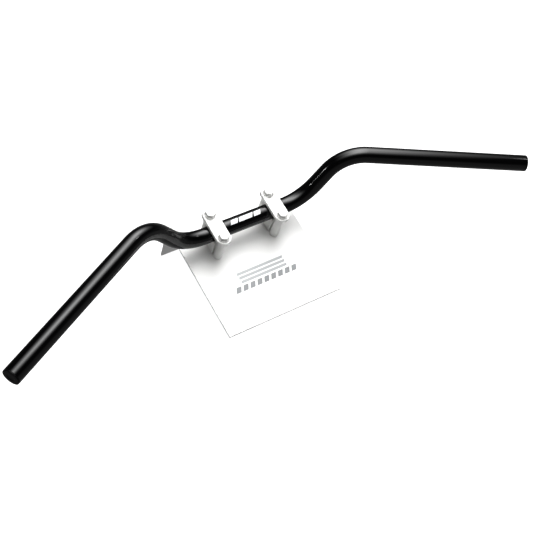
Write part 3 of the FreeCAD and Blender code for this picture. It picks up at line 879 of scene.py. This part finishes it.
def rows_to_grid(k, rows, across, along, above):
    """Points of rows of (radius, height) over the angles k, about a bolt's axis."""
    radius = np.array([np.broadcast_to(row[0], k.shape) for row in rows])
    height = np.array([np.broadcast_to(row[1], k.shape) for row in rows])
    return from_stand(around(k, radius, above + height, across, along))


def thread_rows(k, radius, pitch, top, bottom):
    """Rows down a thread: the radius falls by up to the thread depth, as a rounded wave of the
    height in pitches minus the angle in turns, and fades out at both ends."""
    depth = THREAD_DEPTH * pitch
    heights = np.linspace(top, bottom, int((top - bottom) / pitch * THREAD_STEPS) + 1)
    wave = 0.5 - 0.5 * np.cos(math.tau * (heights[:, None] / pitch - k[None, :] / math.tau))
    fade = np.clip((top - heights) / pitch, 0, 1)[:, None]
    tip = np.clip((heights - bottom) / pitch, 0, 1)[:, None]
    r = radius - depth * (wave * fade * tip + (1 - tip))
    return list(zip(r, heights))


def bolt_grid(across, along):
    """One hex bolt as a closed surface from the middle of its head down to its tip."""
    bolt = settings().bolt
    k = angles_round()
    radius = bolt.diameter / 2
    tip = -(strap_top() + under_plate() + 2 * bolt.washer_thick + bolt.nut + bolt.past_nut)
    floor = bolt.head - HEAD_STEP
    rows = [(0.0, floor), (DISH_FLOOR * bolt.flats, floor), (DISH_EDGE * bolt.flats, bolt.head)]
    rows += hexagon_rows(k, bolt.flats, HEAD_STEP, bolt.head)[::-1]
    rows += [(WASHER_FACE * bolt.flats, HEAD_STEP), (WASHER_FACE * bolt.flats, 0.0),
             (radius + HEAD_STEP, 0.0), (radius, -HEAD_STEP), (radius, tip + bolt.thread)]
    rows += thread_rows(k, radius, bolt.pitch, tip + bolt.thread, tip)
    rows += [(0.0, tip)]
    return rows_to_grid(k, rows, across, along, strap_top() + bolt.washer_thick)


class HANDLEBAR_OT_bolts(bpy.types.Operator):
    """Makes the four hex bolts with their threads"""
    bl_idname = "handlebar.bolts"
    bl_label = "Bolts"

    def execute(self, context):
        for side, end, *place in bolt_places():
            make_piece(f"bolt_{side}_{end}", [(bolt_grid(*place), False)], white_bolt_paint(),
                       "stand", [f"{side}_{end}_bolt"], crease=22.0)
        return {"FINISHED"}


def ring_profile(bore, outside, low, high, edge):
    """Closed section of a flat ring with broken edges, starting and ending in its bore."""
    middle = (low + high) / 2
    corners = [(bore, middle), (bore, high), (outside, high), (outside, low), (bore, low), (bore, middle)]
    return round_corners(corners, [edge / 2, edge, edge, edge / 2], 3)[:-1]


class HANDLEBAR_OT_washers(bpy.types.Operator):
    """Makes the washers under the bolt heads and under the plate"""
    bl_idname = "handlebar.washers"
    bl_label = "Washers"

    def execute(self, context):
        bolt = settings().bolt
        bottoms = {"strap": strap_top(), "plate": -under_plate() - bolt.washer_thick}
        looks = {"strap": white_bolt_paint(), "plate": bright_zinc()}
        for side, end, *place in bolt_places():
            for where, low in bottoms.items():
                section = ring_profile(bolt_hole(), bolt.washer / 2, low, low + bolt.washer_thick,
                                       WASHER_EDGE)
                grid = upright(section, TURNED_SIDES, *place)
                make_piece(f"washer_{where}_{side}_{end}", [(grid, True)], looks[where], "stand",
                           [f"{side}_{end}_{where}_washer"])
        return {"FINISHED"}


class HANDLEBAR_OT_nuts(bpy.types.Operator):
    """Makes the lock nuts and the nylon rings in their collars"""
    bl_idname = "handlebar.nuts"
    bl_label = "Lock nuts"

    def execute(self, context):
        bolt = settings().bolt
        top = -under_plate() - bolt.washer_thick
        bore = bolt.diameter / 2 + bolt.thread_play
        pocket = bore + bolt.insert_wall
        collar = bolt.flats / 2 - NUT_CUT
        seat = bolt.insert - bolt.nut
        k = angles_round()
        rows = [(bore + NUT_CUT, 0.0)]
        rows += hexagon_rows(k, bolt.flats, -bolt.nut_hex, 0.0)[::-1]
        rows += list(round_corners([(collar, -bolt.nut_hex), (collar, -bolt.nut), (pocket, -bolt.nut)],
                                   [COLLAR_ROUND], 5))
        rows += [(pocket, seat), (bore, seat), (bore, -NUT_CUT)]
        section = ring_profile(bore, pocket, top - bolt.nut, top + seat, INSERT_EDGE)
        rings = []
        for side, end, *place in bolt_places():
            make_piece(f"nut_{side}_{end}", [(rows_to_grid(k, rows, *place, top), True)],
                       bright_zinc(), "stand", [f"{side}_{end}_lock_nut"],
                       crease=22.0)
            rings.append((upright(section, 64, *place), True))
        make_piece("nut_inserts", rings, natural_nylon(), "stand", ["lock_nut_inserts"])
        return {"FINISHED"}


# ---- stand ------------------------------------------------------------------------------------

def sheet_grid():
    """A flat rounded-rectangle section carried along the sheet's middle line.

    The line runs from the front edge up the plate, round the bend and down the flange. Towards both
    cut edges the section shrinks by the inset of a rounded edge.
    """
    stand = settings().stand
    half_thick = stand.thick / 2
    level = -axis_height() - half_thick
    rear = stand.rear - half_thick
    line = round_corners([(-stand.front, level), (rear, level), (rear, -axis_height() - stand.flange)],
                         [stand.bend + half_thick], 12)
    heading = np.gradient(line, axis=0)
    heading /= np.linalg.norm(heading, axis=1)[:, None]
    heading[:2] = (1.0, 0.0)
    heading[-2:] = (0.0, -1.0)
    centre, heading, inset = eased_path(line, heading, stand.edge, 5)
    up = np.stack([-heading[:, 1], heading[:, 0]], axis=1)
    across, rise = sheet_section(stand.width / 2, half_thick, stand.edge, inset)
    flat = centre[:, None, :] + rise[:, :, None] * up[:, None, :]
    return np.concatenate([across[:, :, None], flat], axis=-1)


def sheet_section(half_width, half_thick, edge, inset):
    """Rounded rectangle, counter-clockwise: corner centres plus (edge - inset) * (cos(k), sin(k)),
    where k runs through a quarter turn at each corner."""
    quarter = np.linspace(0, math.pi / 2, 6)
    k = np.concatenate([quarter + turn * math.pi / 2 for turn in range(4)])
    sign_x = np.repeat([1, -1, -1, 1], len(quarter))
    sign_z = np.repeat([1, 1, -1, -1], len(quarter))
    r = (edge - inset)[:, None]
    return (sign_x * (half_width - edge) + r * np.cos(k), sign_z * (half_thick - edge) + r * np.sin(k))


class HANDLEBAR_OT_stand(bpy.types.Operator):
    """Bends the stand from one sheet and drills it for the four bolts"""
    bl_idname = "handlebar.stand"
    bl_label = "Display stand"

    def execute(self, context):
        sheet = mesh_from_grids("stand_sheet", [(from_stand(sheet_grid()), False)], close_ends=True)
        places = [place for _, _, *place in bolt_places()]
        tools = hole_tools(places, -under_plate() - PAST_SHEET, -axis_height() + PAST_SHEET)
        finish_piece("stand_sheet", subtract(sheet, tools), white_powder_coat(), "stand",
                     ["display_stand"])
        return {"FINISHED"}


def slanted_bar(left, lower, width, height):
    """A flat printed bar: its outline at both faces, each face closed by a ring shrunk to its middle."""
    lean = settings().stand.slant * height
    corners = [(left + width / 2, lower), (left + width, lower), (left + width + lean, lower + height),
               (left + lean, lower + height), (left, lower), (left + width / 2, lower)]
    outline = round_corners(corners, [PRINT_ROUND] * 4, 4)[:-1]
    middle = np.broadcast_to([left + (width + lean) / 2, lower + height / 2], outline.shape)
    bottom = -axis_height()
    top = bottom + settings().stand.film
    rings = ((middle, bottom), (outline, bottom), (outline, top), (middle, top))
    return from_stand([np.insert(ring, 2, level, axis=1) for ring, level in rings])


PRINT_ROUND = 0.0006     # rounded corners of the printed bars


class HANDLEBAR_OT_badge(bpy.types.Operator):
    """Lays the printed badge on the plate: slanted dashes with stripes above them"""
    bl_idname = "handlebar.badge"
    bl_label = "Badge on the plate"

    def execute(self, context):
        stand = settings().stand
        bars = []
        run = stand.badge_length - stand.dash_width - stand.slant * stand.dash_height
        for left in np.linspace(-stand.badge_length / 2, -stand.badge_length / 2 + run, stand.dash_count):
            bars.append(slanted_bar(left, -stand.badge_front, stand.dash_width, stand.dash_height))
        first = -stand.badge_front + stand.dash_height + stand.stripe_gap
        for k in range(stand.stripe_count):
            bars.append(slanted_bar(-stand.stripe_length / 2, first + k * stand.stripe_pitch,
                                    stand.stripe_length, stand.stripe_height))
        make_piece("stand_print", [(bar, False) for bar in bars], badge_ink(), "stand",
                   ["stand_badge"])
        return {"FINISHED"}


# ---- stage ------------------------------------------------------------------------------------

def camera_axes(azimuth, elevation, roll):
    """Right, up and back unit vectors of a camera that looks at the target from that direction."""
    back = np.array([math.sin(azimuth) * math.cos(elevation), -math.cos(azimuth) * math.cos(elevation),
                     math.sin(elevation)])
    level = np.array([math.cos(azimuth), math.sin(azimuth), 0.0])
    rise = np.cross(back, level)
    right = level * math.cos(roll) + rise * math.sin(roll)
    return right, np.cross(back, right), back


def aim(thing, right, up, back, place):
    """Puts a thing at a place with its local X, Y and Z along right, up and back."""
    turn = Matrix([list(row) for row in np.column_stack([right, up, back])]).to_4x4()
    thing.matrix_world = Matrix.Translation(place.tolist()) @ turn


def hang_lamp(name, kind, place, watts):
    """A lamp that points at the middle of the bar."""
    place = np.array(place)
    data = bpy.data.lights.new(name, kind)
    data.energy = watts
    lamp = bpy.data.objects.new(name, data)
    bpy.context.scene.collection.objects.link(lamp)
    back = (place - AXIS) / np.linalg.norm(place - AXIS)
    right = np.cross([0.0, 1.0, 0.0], back)
    right /= np.linalg.norm(right)
    aim(lamp, right, np.cross(back, right), back, place)
    return data


def soft_disc(name, place, radius, focus, radiance):
    """A round softbox that fades from its middle to its rim.

    The radiance at u disc radii from the middle is peak * (1 + (u * radius / distance) ** 2) **
    (-focus / 2), which the bar sees as a glow that falls with the cosine to the power of focus.
    """
    data = hang_lamp(name, "AREA", place, radiance * (math.pi * radius) ** 2)
    data.shape = "DISK"
    data.size = 2 * radius
    data.use_nodes = True
    tree = data.node_tree
    tree.nodes.clear()
    spread = 2 * radius / float(np.linalg.norm(place - AXIS))
    across = add(tree, "NewGeometry", {}).outputs["Parametric"]
    centred = add(tree, "VectorMath", {0: across, 1: (0.5, 0.5, 0.0)}, operation="SUBTRACT")
    flat = add(tree, "VectorMath", {0: centred.outputs[0], 1: (spread, spread, 0.0)},
               operation="MULTIPLY")
    square = add(tree, "VectorMath", {0: flat.outputs[0], 1: flat.outputs[0]}, operation="DOT_PRODUCT")
    one_more = add(tree, "Math", {0: square.outputs["Value"], 1: 1.0}, operation="ADD")
    fall = add(tree, "Math", {0: one_more.outputs[0], 1: -focus / 2}, operation="POWER")
    glow = add(tree, "Emission", {"Strength": fall.outputs[0]})
    add(tree, "OutputLight", {"Surface": glow.outputs[0]})


def small_lamp(name, place, radius, radiance):
    """A small round lamp for the sharp glints on the bends."""
    data = hang_lamp(name, "POINT", place, radiance * (2 * math.pi * radius) ** 2)
    data.shadow_soft_size = radius


# Round softboxes: place, radius, focus, and radiance in the middle.
SOFTBOXES = {
    "right_softbox": ((0.385, 0.288, 0.995), 0.95, 11.3, 6.0),
    "front_softbox": ((0.037, -0.294, 1.465), 1.1, 16.0, 5.1),
}
# Small round lamps: place, radius and radiance.
GLINTS = {
    "right_glint": ((2.8, -0.75, 2.77), 0.13, 20.0),
    "left_glint": ((-3.31, 0.3, 2.17), 0.13, 60.0),
}
ROOM = 5.0               # radius and height of the floor's upturned rim
ROOM_BEND = 1.5          # radius of the bend between the floor and its rim
FLOOR_GLOW = 0.78        # light that the floor sends out by itself
WORLD_GLOW = (0.32, 0.06)     # below and above the horizon
WORLD_BLEND = 0.2        # height over which one passes into the other
EXPOSURE = -0.2
SENSOR = 36.0            # width in millimetres


def lay_floor():
    """A floor turned about +Z, flat and then bent up into a rim. It takes shadows, but it isn't
    reflected and lights nothing."""
    outline = round_corners([(0.0, 0.0), (ROOM, 0.0), (ROOM, ROOM)], [ROOM_BEND], 24)
    mesh = mesh_from_grids("studio_sweep", [(lathe(outline, ROUND_SIDES), False)])
    mesh.shade_smooth()
    mesh.materials.append(lit_acrylic())
    floor = bpy.data.objects.new("studio_sweep", mesh)
    bpy.context.scene.collection.objects.link(floor)
    floor.visible_glossy = False
    floor.visible_diffuse = False


def surround():
    """A world brighter below the horizon, which stands in for the light from the floor."""
    world = bpy.data.worlds.new("studio")
    world.use_nodes = True
    tree = world.node_tree
    tree.nodes.clear()
    direction = add(tree, "TexCoord", {}).outputs["Generated"]
    height = add(tree, "SeparateXYZ", {"Vector": direction}).outputs["Z"]
    level = add(tree, "MapRange", {"Value": height, "From Min": -WORLD_BLEND, "From Max": WORLD_BLEND,
                                   "To Min": WORLD_GLOW[0], "To Max": WORLD_GLOW[1]})
    sky = add(tree, "Background", {"Color": (1.0, 1.0, 1.0, 1.0), "Strength": level.outputs["Result"]})
    add(tree, "OutputWorld", {"Surface": sky.outputs["Background"]})
    return world


class HANDLEBAR_OT_stage(bpy.types.Operator):
    """Sets out the studio: lit acrylic floor, soft lights overhead and the camera"""
    bl_idname = "handlebar.stage"
    bl_label = "Studio"

    def execute(self, context):
        scene = context.scene
        stage = settings().stage
        lay_floor()
        for name, values in SOFTBOXES.items():
            soft_disc(name, *values)
        for name, values in GLINTS.items():
            small_lamp(name, *values)
        scene.world = surround()
        scene.view_settings.view_transform = "Standard"
        scene.view_settings.look = "High Contrast"
        scene.view_settings.exposure = EXPOSURE
        data = bpy.data.cameras.new("camera")
        data.sensor_width = SENSOR
        data.lens = stage.lens
        data.clip_end = 50.0
        camera = bpy.data.objects.new("camera", data)
        scene.collection.objects.link(camera)
        right, up, back = camera_axes(stage.azimuth, stage.elevation, stage.roll)
        aim(camera, right, up, back, AXIS + np.array(stage.target) + back * stage.distance)
        scene.camera = camera
        return {"FINISHED"}


# ---- add-on -----------------------------------------------------------------------------------

STEPS = (HANDLEBAR_OT_stage, HANDLEBAR_OT_tube, HANDLEBAR_OT_plugs, HANDLEBAR_OT_decal,
         HANDLEBAR_OT_straps, HANDLEBAR_OT_saddles, HANDLEBAR_OT_sleeves, HANDLEBAR_OT_bolts,
         HANDLEBAR_OT_washers, HANDLEBAR_OT_nuts, HANDLEBAR_OT_stand, HANDLEBAR_OT_badge)


class HANDLEBAR_PT_panel(bpy.types.Panel):
    """Buttons for each piece, then the sizes and finishes"""
    bl_label = "Handlebar"
    bl_idname = "HANDLEBAR_PT_panel"
    bl_space_type = "VIEW_3D"
    bl_region_type = "UI"
    bl_category = "Handlebar"

    def draw(self, context):
        for step in STEPS:
            self.layout.operator(step.bl_idname)
        for group_name in ("bar", "clamp", "bolt", "stand", "finish", "stage"):
            group = getattr(context.scene.handlebar, group_name)
            box = self.layout.box()
            for key in group.bl_rna.properties.keys():
                if key not in ("rna_type", "name"):
                    box.prop(group, key)


CLASSES = (HandlebarBarSizes, HandlebarClampSizes, HandlebarBoltSizes, HandlebarStandSizes,
           HandlebarFinishes, HandlebarStage, HandlebarSettings, *STEPS, HANDLEBAR_PT_panel)


def register():
    for cls in CLASSES:
        bpy.utils.register_class(cls)
    bpy.types.Scene.handlebar = PointerProperty(type=HandlebarSettings)


def unregister():
    del bpy.types.Scene.handlebar
    for cls in reversed(CLASSES):
        bpy.utils.unregister_class(cls)


def main():
    register()
    bpy.ops.handlebar.stage()
    bpy.ops.handlebar.tube()
    bpy.ops.handlebar.plugs()
    bpy.ops.handlebar.decal()
    bpy.ops.handlebar.straps()
    bpy.ops.handlebar.saddles()
    bpy.ops.handlebar.sleeves()
    bpy.ops.handlebar.bolts()
    bpy.ops.handlebar.washers()
    bpy.ops.handlebar.nuts()
    bpy.ops.handlebar.stand()
    bpy.ops.handlebar.badge()


if __name__ == "__main__":
    main()
